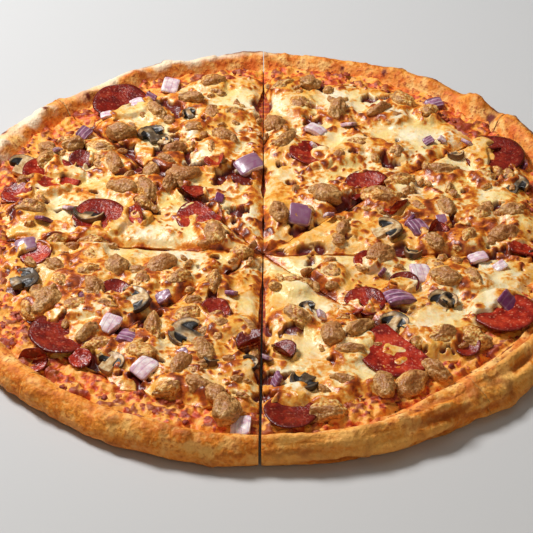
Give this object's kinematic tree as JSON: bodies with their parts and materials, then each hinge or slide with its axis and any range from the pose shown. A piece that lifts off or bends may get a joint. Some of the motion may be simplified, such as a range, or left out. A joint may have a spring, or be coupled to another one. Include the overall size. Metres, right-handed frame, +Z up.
{
  "type": "sausage pizza",
  "caption": "Round baked sausage pizza with pepperoni, mushroom and red onion, cut into slices that lie together in the whole's shape.",
  "frame": {"origin": "on the underside, below the middle of the pizza's bounding box", "axes": "+Z up, out of the toppings; -Y is the near side of the picture, where the cuts cross closer"},
  "size_m": [0.3576, 0.3566, 0.0226],
  "materials": {
    "baked_dough": "matte baked crust",
    "tomato_sauce": "moist sauce",
    "melted_cheese": "oily melted cheese with browned sausage on it",
    "pepperoni": "oily cured sausage",
    "mushroom": "baked mushroom",
    "red_onion": "moist onion"
  },
  "bodies": {
    "root": {"dough_1": "baked_dough", "dough_2": "baked_dough", "dough_3": "baked_dough", "dough_4": "baked_dough", "dough_5": "baked_dough", "dough_6": "baked_dough", "dough_7": "baked_dough", "dough_8": "baked_dough", "sauce_1": "tomato_sauce", "sauce_2": "tomato_sauce", "sauce_3": "tomato_sauce", "sauce_4": "tomato_sauce", "sauce_5": "tomato_sauce", "sauce_6": "tomato_sauce", "sauce_7": "tomato_sauce", "sauce_8": "tomato_sauce", "cheese_1": "melted_cheese", "cheese_2": "melted_cheese", "cheese_3": "melted_cheese", "cheese_4": "melted_cheese", "cheese_5": "melted_cheese", "cheese_6": "melted_cheese", "cheese_7": "melted_cheese", "cheese_8": "melted_cheese", "pepperoni_1": "pepperoni", "pepperoni_2": "pepperoni", "pepperoni_3": "pepperoni", "pepperoni_4": "pepperoni", "pepperoni_5": "pepperoni", "pepperoni_6": "pepperoni", "pepperoni_7": "pepperoni", "pepperoni_8": "pepperoni", "pepperoni_9": "pepperoni", "pepperoni_10": "pepperoni", "pepperoni_11": "pepperoni", "pepperoni_12": "pepperoni", "mushroom_1": "mushroom", "mushroom_2": "mushroom", "mushroom_3": "mushroom", "mushroom_4": "mushroom", "mushroom_5": "mushroom", "mushroom_6": "mushroom", "mushroom_7": "mushroom", "mushroom_8": "mushroom", "mushroom_9": "mushroom", "mushroom_10": "mushroom", "mushroom_11": "mushroom", "mushroom_12": "mushroom", "onion_1": "red_onion", "onion_2": "red_onion", "onion_3": "red_onion", "onion_4": "red_onion", "onion_5": "red_onion", "onion_6": "red_onion", "onion_7": "red_onion", "onion_8": "red_onion", "onion_9": "red_onion", "onion_10": "red_onion", "onion_11": "red_onion", "onion_12": "red_onion"}
  },
  "joints": []
}
